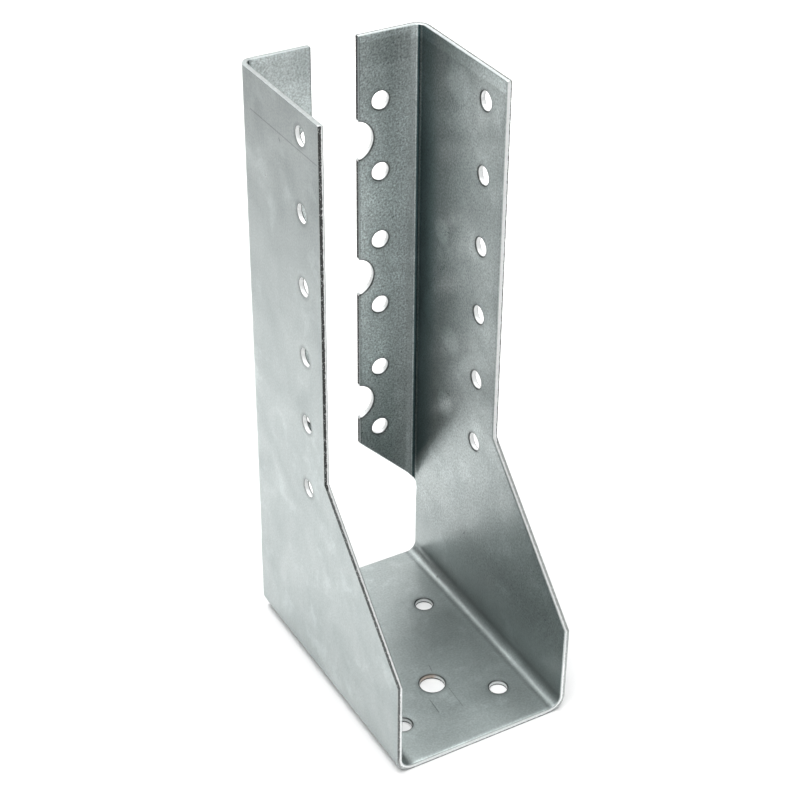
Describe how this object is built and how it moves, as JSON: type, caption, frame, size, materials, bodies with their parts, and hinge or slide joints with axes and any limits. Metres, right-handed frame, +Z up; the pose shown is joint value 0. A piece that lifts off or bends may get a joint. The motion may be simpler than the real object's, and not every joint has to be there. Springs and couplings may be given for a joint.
{
  "type": "joist hanger",
  "caption": "Face-fixed timber joist hanger folded from one galvanised steel sheet: seat, nailed side plates and inward-turned nailing flanges with bolt notches.",
  "frame": {"origin": "on the underside of the seat, in the middle of the hanger's width and depth", "axes": "+Z up along the side plates, +X across the joist from the left plate to the right one, +Y from the open front, where the joist comes in, to the header behind the flanges"},
  "size_m": [0.0516, 0.08, 0.1675],
  "materials": {
    "galvanised_steel": "hot-dip galvanised sheet, semi-matt, fine grained, with bare sheared edges"
  },
  "bodies": {
    "root": {"hanger": "galvanised_steel"}
  },
  "joints": []
}
